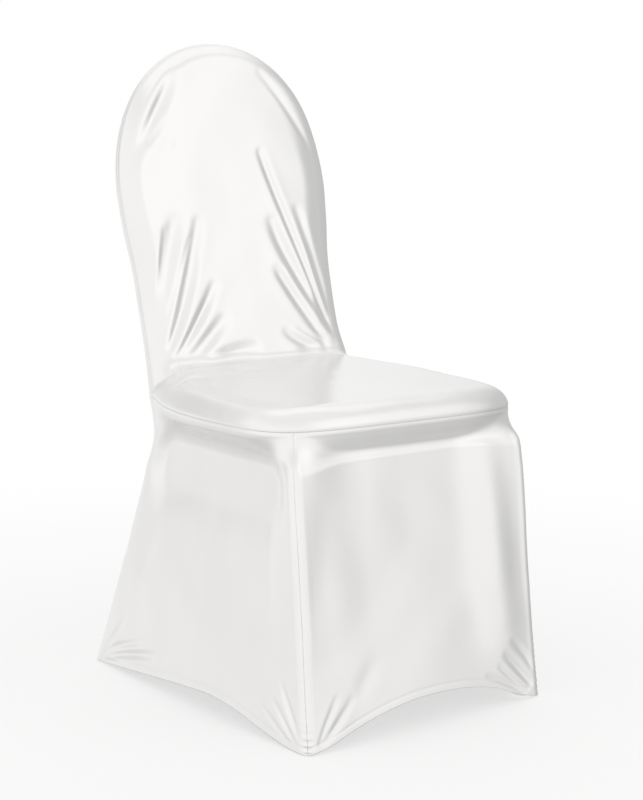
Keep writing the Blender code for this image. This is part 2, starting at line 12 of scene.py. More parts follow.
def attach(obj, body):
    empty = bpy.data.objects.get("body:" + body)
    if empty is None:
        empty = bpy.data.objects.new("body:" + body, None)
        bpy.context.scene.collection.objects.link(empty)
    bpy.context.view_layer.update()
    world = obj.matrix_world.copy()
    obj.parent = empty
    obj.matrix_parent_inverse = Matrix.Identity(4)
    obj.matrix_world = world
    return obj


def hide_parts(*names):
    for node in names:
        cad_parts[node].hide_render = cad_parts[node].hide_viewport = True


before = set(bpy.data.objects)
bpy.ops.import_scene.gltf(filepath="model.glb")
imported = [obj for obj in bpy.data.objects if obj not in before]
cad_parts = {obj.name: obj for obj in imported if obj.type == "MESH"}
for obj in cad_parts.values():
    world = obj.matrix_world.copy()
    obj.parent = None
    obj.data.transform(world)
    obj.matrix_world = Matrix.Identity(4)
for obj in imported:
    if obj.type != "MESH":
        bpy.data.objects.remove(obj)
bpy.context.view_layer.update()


# Front panel
# One cut of glossy stretch knit covers the inside of the back and the top of the seat. It rolls
# over the rim of the back and the edge of the cushion, and is sewn there to its neighbours.

MIDDLE_Y = 0.0377
KNIT = 0.0010

BACK_FOOT_Y = 0.1795
BACK_FOOT_Z = 0.440
BACK_LEAN = np.radians(17.3)
BACK_STRAIGHTENS = np.radians(21.1)
BACK_EDGE = 0.0267
BACK_SWELL = 0.004
CORNER_H = -0.0157
CROWN_H = 0.290
CROWN_HALF_WIDTH = 0.1925
CROWN_RISE = 0.2275
CROWN_POWER = 2.1
BACK_WIDTHS = (
    # along, half_width
    (-0.020, 0.1860),
    (0.050, 0.1812),
    (0.120, 0.1808),
    (0.180, 0.1826),
    (0.240, 0.1894),
    (0.290, 0.1925),
)

SEAM_Z = 0.420
SEAT_MIDDLE_Y = -0.060
SEAT_HALF_WIDTH = 0.2315
SEAT_FRONT = 0.134
SEAT_POWER = 4.2
SEAT_EDGE = 0.036
SEAT_CREASE_Y = 0.157
SEAT_CREASE_H = 0.0215
SEAT_WIDTHS = (
    # y, half_width
    (-0.060, 0.2315),
    (0.000, 0.2290),
    (0.047, 0.2230),
    (0.100, 0.2105),
    (0.132, 0.2010),
    (0.176, 0.1858),
)
SEAT_TOPS = (
    # y, height of the cushion's top at its middle
    (-0.200, 0.4500),
    (-0.120, 0.4535),
    (-0.040, 0.4580),
    (0.060, 0.4650),
    (0.160, 0.4715),
)

# Folds that the pull of the frame leaves in the knit. Each runs from, by and to a place across
# and along the back.
BACK_FOLDS = (
    # from, from, by, by, to, to, width, depth
    (-0.100, 0.461, -0.130, 0.409, -0.183, 0.331, 0.0115, 0.0072),
    (-0.121, 0.475, -0.148, 0.442, -0.174, 0.413, 0.0065, 0.0034),
    (-0.116, 0.397, -0.134, 0.376, -0.150, 0.359, 0.0050, 0.0018),
    (-0.096, 0.367, -0.102, 0.358, -0.107, 0.349, 0.0045, 0.0012),
    (0.065, 0.473, 0.112, 0.420, 0.156, 0.356, 0.0055, 0.0019),
    (-0.159, 0.214, -0.178, 0.139, -0.189, 0.065, 0.0075, 0.0030),
    (-0.120, 0.240, -0.144, 0.173, -0.182, 0.038, 0.0150, 0.0066),
    (-0.080, 0.239, -0.122, 0.127, -0.173, 0.022, 0.0105, 0.0056),
    (-0.140, 0.228, -0.160, 0.152, -0.183, 0.070, 0.0050, 0.0017),
    (-0.100, 0.215, -0.130, 0.150, -0.168, 0.066, 0.0044, 0.0017),
    (-0.092, 0.178, -0.122, 0.112, -0.160, 0.050, 0.0058, 0.0022),
    (-0.066, 0.142, -0.102, 0.090, -0.156, 0.024, 0.0088, 0.0048),
    (-0.084, 0.116, -0.120, 0.070, -0.158, 0.030, 0.0045, 0.0015),
    (-0.058, 0.088, -0.101, 0.052, -0.151, 0.014, 0.0110, 0.0056),
    (-0.078, 0.060, -0.112, 0.034, -0.150, 0.006, 0.0040, 0.0013),
    (-0.010, 0.041, -0.061, 0.033, -0.117, 0.010, 0.0110, 0.0066),
    (0.051, 0.347, 0.082, 0.256, 0.149, 0.068, 0.0070, 0.0044),
    (0.060, 0.237, 0.086, 0.172, 0.140, 0.080, 0.0120, 0.0060),
    (0.059, 0.161, 0.078, 0.128, 0.130, 0.048, 0.0095, 0.0048),
    (0.058, 0.062, 0.088, 0.043, 0.145, 0.024, 0.0080, 0.0034),
    (0.084, 0.067, 0.111, 0.051, 0.138, 0.036, 0.0045, 0.0014),
    (0.100, 0.205, 0.123, 0.140, 0.150, 0.060, 0.0045, 0.0014),
    (0.112, 0.255, 0.135, 0.171, 0.158, 0.070, 0.0085, 0.0032),
)
SEAT_FOLDS = (
    # from, from, by, by, to, to, width, depth
    (-0.150, 0.121, -0.178, 0.112, -0.204, 0.120, 0.0065, 0.0034),
    (-0.122, 0.082, -0.172, 0.088, -0.210, 0.108, 0.0075, 0.0032),
    (-0.165, 0.130, -0.186, 0.125, -0.203, 0.132, 0.0040, 0.0018),
    (-0.170, 0.076, -0.084, 0.073, 0.019, 0.086, 0.0100, 0.0028),
    (-0.197, 0.112, -0.150, 0.066, -0.090, 0.030, 0.0080, 0.0022),
    (-0.198, 0.060, -0.203, -0.050, -0.188, -0.150, 0.0060, 0.0015),
    (-0.130, -0.176, 0.020, -0.189, 0.172, -0.172, 0.0060, 0.0015),
)

RINGS = 46
EDGE_SHARES = (0, 0.02, 0.045, 0.08, 0.12, 0.17, 0.24, 0.32, 0.41, 0.51, 0.62, 0.74, 0.87, 1)
CREASE_ROWS = np.linspace(0, 1, 11)[1:-1]
SIDE_STEPS = 92
CROWN_STEPS = 88
SEAT_SIDE_STEPS = 60
SEAT_CORNER_STEPS = 30
SEAT_FRONT_STEPS = 40
FILLET = 0.018
EDGE_FILLET = 0.004
# The strip beside the right edge is drawn flatter by this share of its depth.
STRIP_FLATTER = 0.30

# Across a seam: how deep its valley is, and where the raised fold beside it lies.
SEAM_DEPTH = 0.0003
SEAM_REACH = 0.0015
SEAM_FOLD_AT = 0.0050
SEAM_FOLD_REACH = 0.0026

RIB_PITCH = 0.0012
LOOP_PITCH = 0.0009
KNIT_LIGHT = (0.940, 0.932, 0.924, 1)
KNIT_SHADE = (0.912, 0.904, 0.896, 1)


def through(rows, at, column=1):
    """A smooth curve through one column of a table, at places along its first column."""
    rows = np.asarray(rows, float)
    knots, values = rows[:, 0], rows[:, column]
    slopes = np.gradient(values, knots)
    at = np.clip(at, knots[0], knots[-1])
    k = np.clip(np.searchsorted(knots, at, side="right") - 1, 0, len(knots) - 2)
    step = knots[k + 1] - knots[k]
    t = (at - knots[k]) / step
    rise = (1 + 2 * t) * (1 - t) ** 2 * values[k] + t * t * (3 - 2 * t) * values[k + 1]
    return rise + t * (1 - t) * step * ((1 - t) * slopes[k] - t * slopes[k + 1])


def eased(low, high, at):
    t = np.clip((np.asarray(at, float) - low) / (high - low), 0, 1)
    return t * t * (3 - 2 * t)


def rolled(inside, radius):
    """Height of a quarter-round edge at a distance inside it, as a share of its radius."""
    t = 1 - np.clip(inside / radius, 0, 1)
    return np.sqrt(np.maximum(1 - t * t, 0))


def unit(vectors):
    return vectors / np.maximum(np.linalg.norm(vectors, axis=-1, keepdims=True), 1e-12)


def folds_at(rows, across, up):
    """How deep the folds of a table press a surface in, at points of its plane."""
    deep = np.zeros(np.broadcast(across, up).shape)
    for x0, y0, x1, y1, x2, y2, width, depth in rows:
        t = np.linspace(0, 1, 13)
        near, by, far = (1 - t) * (1 - 2 * t), 4 * t * (1 - t), t * (2 * t - 1)
        line_x = near * x0 + by * x1 + far * x2
        line_y = near * y0 + by * y1 + far * y2
        best = np.full(deep.shape, 9.0)
        place = np.zeros(deep.shape)
        for k in range(12):
            run_x, run_y = line_x[k + 1] - line_x[k], line_y[k + 1] - line_y[k]
            part = (across - line_x[k]) * run_x + (up - line_y[k]) * run_y
            part = np.clip(part / (run_x**2 + run_y**2), 0, 1)
            off = np.hypot(across - line_x[k] - part * run_x, up - line_y[k] - part * run_y)
            nearer = off < best
            best = np.where(nearer, off, best)
            place = np.where(nearer, (k + part) / 12, place)
        fade = np.sin(np.pi * np.clip(0.08 + 0.84 * place, 0, 1)) ** 0.6
        trough = np.exp(-((best / width) ** 2)) - 0.35 * np.exp(-((best / width / 2.1) ** 2))
        deep += depth * fade * trough
    return deep


def back_width(h):
    above = np.clip((h - CROWN_H) / CROWN_RISE, 0, 1)
    crown = CROWN_HALF_WIDTH * (1 - above**CROWN_POWER) ** (1 / CROWN_POWER)
    return np.where(h > CROWN_H, crown, through(BACK_WIDTHS, h))


def back_point(x, h, depth):
    """A point of the back, so far in front of its middle sheet."""
    lean = BACK_LEAN - BACK_STRAIGHTENS * h
    y = BACK_FOOT_Y + (np.cos(lean) - np.cos(BACK_LEAN)) / BACK_STRAIGHTENS
    z = BACK_FOOT_Z + (np.sin(BACK_LEAN) - np.sin(lean)) / BACK_STRAIGHTENS
    return np.stack(np.broadcast_arrays(x, y - depth * np.cos(lean), z + depth * np.sin(lean)), -1)


def seat_edge_z(y):
    return SEAM_Z + 0.005 * eased(0.110, 0.1748, y)


def seat_point(x, y, inside):
    top = through(SEAT_TOPS, y) - 0.003 * (x / 0.2) ** 2
    edge = seat_edge_z(y)
    return np.stack(np.broadcast_arrays(x, y, edge + (top - edge) * rolled(inside, SEAT_EDGE)), -1)


def rays_of(outline, centre, edge, rings):
    """Points from each place of an outline in to its own centre, how far inside it they lie, and
    where they lie on the flat cut, whose edge has the length of the roll."""
    along = unit(np.gradient(outline, axis=0))
    reach = centre - outline
    length = np.linalg.norm(reach, axis=1)
    square = np.abs(along[:, 0] * reach[:, 1] - along[:, 1] * reach[:, 0]) / length
    square = np.maximum(square, 0.6)
    turn = np.pi / 2 * np.array(EDGE_SHARES)
    first = (edge * (1 - np.cos(turn)))[None, :] / (length * square)[:, None]
    rest = np.linspace(0, 1, rings + 1)[1:]
    share = np.concatenate([first, first[:, -1:] + (1 - first[:, -1:]) * rest[None, :]], axis=1)
    points = outline[:, None, :] + reach[:, None, :] * share[..., None]
    unrolled = (edge * (np.pi / 2 - turn))[None, :] / (length * square)[:, None]
    spread = np.concatenate([1 - first[:, -1:] + unrolled, 1 - share[:, len(turn):]], axis=1)
    flat = centre[:, None, :] - reach[:, None, :] * spread[..., None]
    return points, share * (length * square)[:, None], flat


def half_back():
    """One side of the back's outline, from the seat's corner to the middle of the crown."""
    rise = np.linspace(CORNER_H + EDGE_FILLET, CROWN_H, SIDE_STEPS + 1)
    side = np.stack([back_width(rise), rise], -1)
    turn = np.linspace(0, np.pi / 2, CROWN_STEPS + 1)[1:]
    bend = 2 / CROWN_POWER
    x = CROWN_HALF_WIDTH * np.cos(turn).clip(0) ** bend
    crown = np.stack([x, CROWN_H + CROWN_RISE * np.sin(turn) ** bend], -1)
    outline = np.concatenate([side, crown])
    centre = np.stack([np.zeros(len(outline)), np.minimum(outline[:, 1], CROWN_H)], -1)
    return outline, centre


def half_seat():
    """One side of the seat's outline in plan, from the back's corner to the middle of its front."""
    corner_y = back_point(0, CORNER_H, 0)[1]
    y = np.linspace(corner_y - EDGE_FILLET, SEAT_MIDDLE_Y, SEAT_SIDE_STEPS + 1)
    side = np.stack([through(SEAT_WIDTHS, y), y], -1)
    to_corner = 45 * (1 - np.linspace(1, 0, SEAT_CORNER_STEPS + 1)[1:] ** 1.5)
    past = 45 + 45 * np.linspace(0, 1, SEAT_FRONT_STEPS + 1)[1:] ** 1.35
    turn = np.radians(np.concatenate([to_corner, past]))
    power = (np.abs(np.cos(turn)) ** SEAT_POWER + np.sin(turn) ** SEAT_POWER) ** (1 / SEAT_POWER)
    x = SEAT_HALF_WIDTH * np.cos(turn) / power
    y = SEAT_MIDDLE_Y - SEAT_FRONT * np.sin(turn) / power
    front = np.stack([np.where(x < 1e-9, 0, x), y], -1)
    outline = np.concatenate([side, front])
    centre = np.stack([np.zeros(len(outline)), np.maximum(outline[:, 1], SEAT_MIDDLE_Y)], -1)
    return outline, centre


def uneven(across, up):
    """The slow, slight waves of a knit that no frame holds out."""
    first = np.sin(across * 47 + 1.6 * np.sin(up * 19 + 0.4)) * np.sin(up * 33 + 1.3)
    second = np.sin(across * 21 - 0.9) * np.sin(up * 17 + 0.7)
    return 0.0003 * first + 0.0006 * second


def crease_shares(inside):
    return rolled(inside, 0.030)


def back_rays(side, front, folds):
    """One half of the back on its front or rear face, and the same places of the flat cut."""
    outline, centre = half_back()
    plane, inside, flat = rays_of(outline, centre, BACK_EDGE, RINGS)
    x, h = plane[..., 0] * side, plane[..., 1]
    flat = flat * [side, 1]
    if front:
        # Towards the seat the rows end on the crease instead of at the corner's height.
        floor = CORNER_H + (SEAT_CREASE_H - CORNER_H) * crease_shares(inside)
        fillet = EDGE_FILLET + (FILLET - EDGE_FILLET) * crease_shares(inside - 0.004)
        low = CORNER_H + EDGE_FILLET
        fraction = np.clip((h - low) / (CROWN_H - low), 0, 1)
        h = np.where(h < CROWN_H, floor + fillet + fraction * (CROWN_H - floor - fillet), h)
        flat[..., 1] = np.where(h < CROWN_H, h, flat[..., 1])
    strip = 0
    if front and side > 0:
        strip = STRIP_FLATTER * (1 - eased(0.008, 0.062, inside))
        strip = strip * eased(0.02, 0.08, h) * eased(0.45, 0.34, h)
    depth = BACK_EDGE * rolled(inside, BACK_EDGE) * (1 - strip)
    depth = depth + BACK_SWELL * eased(0, 0.12, inside)
    pressed = folds_at(folds, x, h) + uneven(x, h)
    depth = depth - pressed * eased(0.002, 0.020, inside) * eased(0, 0.02, h)
    return back_point(x, h, depth if front else -depth), flat


def seat_rays(side):
    outline, centre = half_seat()
    plane, inside, flat = rays_of(outline, centre, SEAT_EDGE, RINGS)
    x, y = plane[..., 0] * side, plane[..., 1]
    corner_y = back_point(0, CORNER_H, 0)[1]
    back = corner_y - (corner_y - SEAT_CREASE_Y) * crease_shares(inside)
    fillet = EDGE_FILLET + (FILLET - EDGE_FILLET) * crease_shares(inside - 0.004)
    high = corner_y - EDGE_FILLET
    fraction = np.clip((high - y) / (high - SEAT_MIDDLE_Y), 0, 1)
    rear = back - fillet - fraction * (back - fillet - SEAT_MIDDLE_Y)
    flat = flat * [side, 1] + [0, SEAT_CREASE_H - SEAT_CREASE_Y]
    flat[..., 1] += np.where(y > SEAT_MIDDLE_Y, rear - y, 0)
    y = np.where(y > SEAT_MIDDLE_Y, rear, y)
    points = seat_point(x, y, inside)
    pressed = folds_at(SEAT_FOLDS, x, y) + uneven(x, y)
    points[..., 2] -= pressed * eased(0.002, 0.020, inside) * eased(0.150, 0.134, y)
    return points, flat


def crease_rays(back, seat, side):
    """The rows that carry the knit round the crease between back and seat."""
    half = through(BACK_WIDTHS, CORNER_H)
    outline = np.array([[half, 0.0], [half, 1e-6]])
    plane, inside, _ = rays_of(outline, np.zeros((2, 2)), BACK_EDGE, RINGS)
    x, inside = plane[0, :, 0] * side, inside[0]
    crease_h = CORNER_H + (SEAT_CREASE_H - CORNER_H) * crease_shares(inside)
    depth = BACK_EDGE * rolled(inside, BACK_EDGE) + BACK_SWELL * eased(0, 0.12, inside)
    knee = back_point(x, crease_h, depth)
    rows, flats = [], []
    for t in CREASE_ROWS:
        row = (1 - t) ** 2 * back[0][0] + 2 * t * (1 - t) * knee + t * t * seat[0][0]
        straight = back[0][0] + (knee - back[0][0]) * min(2 * t, 1)
        straight = straight + (seat[0][0] - knee) * max(2 * t - 1, 0)
        row[0] = straight[0]
        rows.append(row)
        flats.append(back[1][0] * (1 - t) + seat[1][0] * t)
    return np.array(rows), np.array(flats)


def half_front(side):
    """One half of the front panel: rays from its edge to its middle, from crown to seat front."""
    back = back_rays(side, True, BACK_FOLDS)
    seat = seat_rays(side)
    crease = crease_rays(back, seat, side)
    return [np.concatenate([back[k][::-1], crease[k], seat[k]]) for k in (0, 1)]


def lengths_along(points, axis):
    """Distance along each row or column of a grid of places, from its start."""
    steps = np.linalg.norm(np.diff(points, axis=axis), axis=-1)
    total = np.cumsum(steps, axis=axis)
    return np.concatenate([np.zeros_like(np.take(total, [0], axis)), total], axis=axis)


def sunk(points, deep, outward):
    """A grid of places pressed in along its own normals."""
    normal = unit(np.cross(np.gradient(points, axis=0), np.gradient(points, axis=1)))
    if np.sum(normal * outward) < 0:
        normal = -normal
    return points - normal * deep[..., None]


def seam_dip(far):
    """The valley that the stitches pull along a seam, and the fold of the seam beside it."""
    valley = SEAM_DEPTH * np.exp(-((far / SEAM_REACH) ** 2))
    return valley - SEAM_DEPTH * np.exp(-(((far - SEAM_FOLD_AT) / SEAM_FOLD_REACH) ** 2))


def sheet_of_knit(name, grids, outward):
    """A thin sheet from grids of places and of their places on the flat cut, sewn where they meet."""
    body = bmesh.new()
    cut = body.verts.layers.float_vector.new("cut")
    for places, flat in grids:
        rows, columns = places.shape[:2]
        made = bmesh.ops.create_grid(body, x_segments=columns - 1, y_segments=rows - 1, size=1)
        for vertex in made["verts"]:
            i = round((vertex.co.y + 1) / 2 * (rows - 1))
            j = round((vertex.co.x + 1) / 2 * (columns - 1))
            vertex.co = places[i, j] - [0, MIDDLE_Y, 0]
            vertex[cut] = (*flat[i, j], 0)
    bmesh.ops.remove_doubles(body, verts=body.verts, dist=4e-6)
    bmesh.ops.recalc_face_normals(body, faces=body.faces)
    if sum(face.normal.dot(Vector(outward)) * face.calc_area() for face in body.faces) < 0:
        bmesh.ops.reverse_faces(body, faces=body.faces)
    mesh = bpy.data.meshes.new(name)
    body.to_mesh(mesh)
    body.free()
    corners = np.empty(len(mesh.loops), int)
    mesh.loops.foreach_get("vertex_index", corners)
    flat = np.empty(len(mesh.vertices) * 3)
    mesh.attributes["cut"].data.foreach_get("vector", flat)
    laid = mesh.uv_layers.new(name="cut_cloth")
    laid.data.foreach_set("uv", flat.reshape(-1, 3)[corners, :2].ravel())
    mesh.attributes.remove(mesh.attributes["cut"])
    mesh.shade_smooth()
    piece = bpy.data.objects.new(name, mesh)
    bpy.context.scene.collection.objects.link(piece)
    wall = piece.modifiers.new("knit", "SOLIDIFY")
    wall.thickness = KNIT
    wall.offset = -1
    return piece


class Wire:
    """One output in a material, on which sums are written as plain maths."""

    def __init__(self, tree, socket=None):
        self.tree = tree
        self.socket = socket

    def node(self, kind, settings=None, sockets=None, output=0):
        """A node of any other type: its settings first, then values or wires for its sockets."""
        made = self.tree.nodes.new(kind)
        for key, value in (settings or {}).items():
            setattr(made, key, value)
        for key, value in (sockets or {}).items():
            if isinstance(value, Wire):
                self.tree.links.new(value.socket, made.inputs[key])
            else:
                made.inputs[key].default_value = value
        return Wire(self.tree, made.outputs[output] if made.outputs else None)

    def sum_with(self, operation, first, second):
        return self.node("ShaderNodeMath", {"operation": operation}, {0: first, 1: second})

    def __add__(self, other):
        return self.sum_with("ADD", self, other)

    __radd__ = __add__

    def __mul__(self, other):
        return self.sum_with("MULTIPLY", self, other)

    __rmul__ = __mul__

    def __sub__(self, other):
        return self.sum_with("SUBTRACT", self, other)

    def __rsub__(self, other):
        return self.sum_with("SUBTRACT", other, self)


def glossy_knit(name):
    """Stretch knit with a satin face: fine ribs, loops across them, and uneven pull."""
    material = bpy.data.materials.new(name)
    material.use_nodes = True
    tree = material.node_tree
    tree.nodes.clear()
    start = Wire(tree)
    cut = start.node("ShaderNodeUVMap", {"uv_map": "cut_cloth"})
    across = start.node("ShaderNodeSeparateXYZ", sockets={0: cut}, output=0)
    along = start.node("ShaderNodeSeparateXYZ", sockets={0: cut}, output=1)
    ribs = start.node("ShaderNodeMath", {"operation": "SINE"}, {0: across * (2 * np.pi / RIB_PITCH)})
    loops = start.node("ShaderNodeMath", {"operation": "SINE"}, {0: along * (2 * np.pi / LOOP_PITCH)})
    pulled = start.node("ShaderNodeMapping", sockets={"Vector": cut, "Scale": (1.0, 0.35, 1.0)})
    flat_noise = {"noise_dimensions": "2D"}
    slack = start.node("ShaderNodeTexNoise", flat_noise, {"Vector": pulled, "Scale": 24.0, "Detail": 1.0})
    grain = start.node("ShaderNodeTexNoise", flat_noise, {"Vector": cut, "Scale": 700.0, "Detail": 2.0})
    colour = start.node(
        "ShaderNodeMix",
        {"data_type": "RGBA"},
        {"Factor": slack, "A": KNIT_SHADE, "B": KNIT_LIGHT},
        output=2,
    )
    relief = ribs + loops * 0.4 + grain * 0.5
    fine = start.node("ShaderNodeBump", sockets={"Strength": 0.5, "Distance": 0.00002, "Height": relief})
    shader = start.node(
        "ShaderNodeBsdfPrincipled",
        sockets={
            "Base Color": colour,
            "Roughness": 0.20 + 0.05 * slack,
            "Metallic": 0.75,
            "Normal": fine,
            "Sheen Weight": 0.15,
            "Sheen Roughness": 0.4,
        },
    )
    start.node("ShaderNodeOutputMaterial", sockets={"Surface": shader})
    return material


right_half = half_front(1)
left_half = half_front(-1)
loop = [np.concatenate([right_half[k], left_half[k][::-1]]) for k in (0, 1)]
from_edge = lengths_along(loop[0], 1)
front_places = sunk(loop[0], seam_dip(from_edge), (0, -1, 1))
front_panel = sheet_of_knit("cover_front_panel", [(front_places, loop[1])], (0, -1, 1))
front_panel.data.materials.append(glossy_knit("glossy_white_knit"))
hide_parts("front_panel")
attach(front_panel, "root")


# Rear panel
# The outside of the back and the skirt below it are one long cut of the same knit. It is sewn
# to the front panel along the rim and to the side skirts down the rear legs, and ends in a hem.

REAR_LEG = (
    # z, x, y
    (0.000, 0.2050, 0.3150),
    (0.060, 0.2020, 0.2910),
    (0.120, 0.1995, 0.2675),
    (0.240, 0.1945, 0.2210),
    (0.320, 0.1915, 0.1925),
    (0.360, 0.1910, 0.1830),
    (0.395, 0.1905, 0.1800),
    (0.430, 0.1905, 0.1820),
)
REAR_HEM = (
    # share of the way from the left leg, height
    (0.00, 0.0000),
    (0.12, 0.0100),
    (0.28, 0.0290),
    (0.50, 0.0400),
    (0.72, 0.0270),
    (0.88, 0.0090),
    (1.00, 0.0000),
)
REAR_FOLDS = (
    # from, from, by, by, to, to, width, depth
    (-0.165, -0.010, -0.130, 0.070, -0.070, 0.150, 0.013, 0.0036),
    (-0.150, 0.060, -0.140, 0.150, -0.100, 0.230, 0.012, 0.0030),
    (-0.160, -0.010, -0.090, 0.030, -0.030, 0.050, 0.009, 0.0016),
    (0.165, -0.015, 0.120, 0.060, 0.060, 0.110, 0.013, 0.0036),
    (0.155, 0.050, 0.140, 0.140, 0.090, 0.240, 0.012, 0.0030),
    (0.160, -0.015, 0.100, 0.020, 0.040, 0.030, 0.009, 0.0016),
    (-0.140, -0.110, -0.110, -0.230, -0.120, -0.360, 0.018, 0.0040),
    (0.130, -0.120, 0.120, -0.240, 0.110, -0.340, 0.018, 0.0036),
    (-0.192, -0.425, -0.170, -0.385, -0.120, -0.370, 0.008, 0.0022),
    (-0.190, -0.410, -0.180, -0.360, -0.165, -0.325, 0.007, 0.0018),
    (0.190, -0.425, 0.172, -0.390, 0.130, -0.372, 0.008, 0.0020),
    (0.190, -0.405, 0.182, -0.360, 0.168, -0.330, 0.007, 0.0018),
)
REAR_BULGE = 0.030
LEG_ROUND = 0.016
# A seam runs down the middle of a leg's round corner, so far in from where the flat faces meet.
SEAM_ON_LEG = LEG_ROUND * (1 - np.sqrt(0.5))
HEM_TURN = 0.010
HEM_DEPTH = 0.0003
HEM_REACH = 0.0024
# How far down a skirt its rows lie, as a share of its height: close together under the seat.
SKIRT_KNOTS = (
    0, 0.02, 0.04, 0.058, 0.075, 0.092, 0.112, 0.14, 0.185, 0.26,
    0.37, 0.5, 0.62, 0.73, 0.82, 0.89, 0.937, 0.965, 0.982, 1,
)
SKIRT_LINES = np.linspace(0, 1, 141) ** 1.12 * (len(SKIRT_KNOTS) - 1)
SKIRT_ROWS = np.interp(SKIRT_LINES, np.arange(len(SKIRT_KNOTS)), SKIRT_KNOTS)


def legs_at(rows, z):
    return through(rows, z, 1), through(rows, z, 2)


def corner_inset(along, length):
    """How far a leg's round corner lies inside the flat face near either end of it."""
    near = np.minimum(along, length - along)
    t = np.clip(LEG_ROUND - near, 0, LEG_ROUND)
    return LEG_ROUND - np.sqrt(LEG_ROUND**2 - t * t)


def hem_dip(under):
    """The shallow line that a hem's stitches draw, at distances below the skirt's first row."""
    far = np.abs(under[-1:] - under - HEM_TURN)
    return HEM_DEPTH * np.exp(-((far / HEM_REACH) ** 2))


def rear_upper(side):
    """Half of the outside of the back, down to the level of the seat's corners."""
    rays, flat = back_rays(side, False, REAR_FOLDS)
    outline, centre = half_back()
    _, inside, _ = rays_of(outline, centre, BACK_EDGE, RINGS)
    drop = np.linspace(0, 1, 6)[:-1, None] * EDGE_FILLET
    x = rays[0, :, 0][None, :] * np.ones_like(drop)
    depth = BACK_EDGE * rolled(inside[0], BACK_EDGE) + BACK_SWELL * eased(0, 0.12, inside[0])
    depth = depth - folds_at(REAR_FOLDS, x, CORNER_H + drop) * eased(0.002, 0.020, inside[0])
    x = x * through(BACK_WIDTHS, CORNER_H + drop) / np.abs(rays[0, 0, 0])
    corner = back_point(x, CORNER_H + drop, -depth)
    below = flat[0][None] + np.stack(np.broadcast_arrays(0 * x, drop - EDGE_FILLET), -1)
    return np.concatenate([corner, rays]), np.concatenate([below, flat])


def rear_lower(left_row, right_row):
    """The rear panel below the seat's corners, down to its hem between the rear feet."""
    top = np.concatenate([left_row, right_row[::-1][1:]])
    share = ((top[:, 0] - top[0, 0]) / (top[-1, 0] - top[0, 0]))[None, :]
    corner_z = top[0, 2]
    down = SKIRT_ROWS[:, None]
    hem = through(REAR_HEM, share)
    z = top[None, :, 2] * (1 - down) + hem * down
    drop = corner_z * down
    leg_x, leg_y = legs_at(REAR_LEG, z)
    length = 2 * leg_x
    along = SEAM_ON_LEG + share * (length - 2 * SEAM_ON_LEG)
    x = along - leg_x
    bulge = REAR_BULGE * eased(0.02, 0.40, z) * np.sin(np.pi * along / length) ** 0.8
    y = leg_y - corner_inset(along, length) + bulge
    pressed = folds_at(REAR_FOLDS, x, z - 0.44) + uneven(x, z)
    y = y - pressed * eased(0, 0.05, np.minimum(share, 1 - share))
    turned = eased(0, 0.110, drop)
    straight_y = top[None, :, 1] - drop * np.tan(BACK_LEAN)
    x = top[None, :, 0] * (1 - turned) + x * turned
    y = straight_y * (1 - turned) + y * turned
    return np.stack([x, y, z], -1)


left_upper = rear_upper(-1)
right_upper = rear_upper(1)
upper = [np.concatenate([left_upper[k], right_upper[k][::-1][1:]]) for k in (0, 1)]
lower = rear_lower(left_upper[0][0], right_upper[0][0])
lower_flat = np.stack([lower[..., 0], lower[..., 2] - lower[:1, :, 2] + CORNER_H], -1)
upper_places = sunk(upper[0], seam_dip(lengths_along(upper[0], 1)), (0, 1, 0))
beside = lengths_along(lower, 1)
beside = np.minimum(beside, beside[:, -1:] - beside)
dips = seam_dip(beside) + hem_dip(lengths_along(lower, 0))
lower_places = sunk(lower, dips, (0, 1, 0))
rear_parts = [(upper_places, upper[1]), (lower_places, lower_flat)]
rear_panel = sheet_of_knit("cover_rear_panel", rear_parts, (0, 1, 0))
rear_panel.data.materials.append(glossy_knit("glossy_white_knit_rear"))
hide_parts("rear_panel")
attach(rear_panel, "root")


# Front skirt
# This cut hangs from the seat's front edge to an arched hem between the front feet. The seat
# frame holds its top band out, and below that the knit bridges from leg to leg.

FRONT_LEG = (
    # z, x, y
    (0.000, 0.2195, -0.2385),
    (0.060, 0.2180, -0.2310),
    (0.180, 0.2160, -0.2175),
    (0.350, 0.2150, -0.1990),
    (0.430, 0.2110, -0.1890),
)
FRONT_HEM = (
    # share of the way from the left leg, height
    (0.00, 0.0000),
    (0.10, 0.0090),
    (0.17, 0.0190),
    (0.25, 0.0290),
    (0.42, 0.0413),
    (0.58, 0.0420),
    (0.70, 0.0370),
    (0.81, 0.0258),
    (0.89, 0.0122),
    (0.97, 0.0026),
    (1.00, 0.0000),
)
FRONT_FOLDS = (
    # from, from, by, by, to, to, width, depth
    (0.128, 0.400, 0.138, 0.250, 0.150, 0.100, 0.0360, -0.0085),
    (-0.172, 0.300, -0.178, 0.220, -0.180, 0.130, 0.0260, 0.0016),
    (-0.080, 0.370, -0.070, 0.300, -0.040, 0.240, 0.0500, -0.0022),
    (0.164, 0.087, 0.184, 0.070, 0.202, 0.046, 0.0048, 0.0018),
    (0.150, 0.069, 0.171, 0.049, 0.196, 0.022, 0.0060, 0.0026),
    (0.137, 0.056, 0.160, 0.035, 0.190, 0.014, 0.0042, 0.0014),
    (0.114, 0.047, 0.151, 0.030, 0.182, 0.010, 0.0050, 0.0014),
    (-0.140, 0.061, -0.165, 0.035, -0.194, 0.012, 0.0060, 0.0018),
    (-0.164, 0.068, -0.181, 0.042, -0.199, 0.014, 0.0046, 0.0016),
    (-0.096, 0.102, -0.112, 0.084, -0.128, 0.064, 0.0140, 0.0014),
)
FRONT_COLUMNS = 171
FRONT_WIDTH = 0.40
FRONT_RECESS = 0.010
FRONT_BELLY = 0.004
CORNER_REACH = 0.050

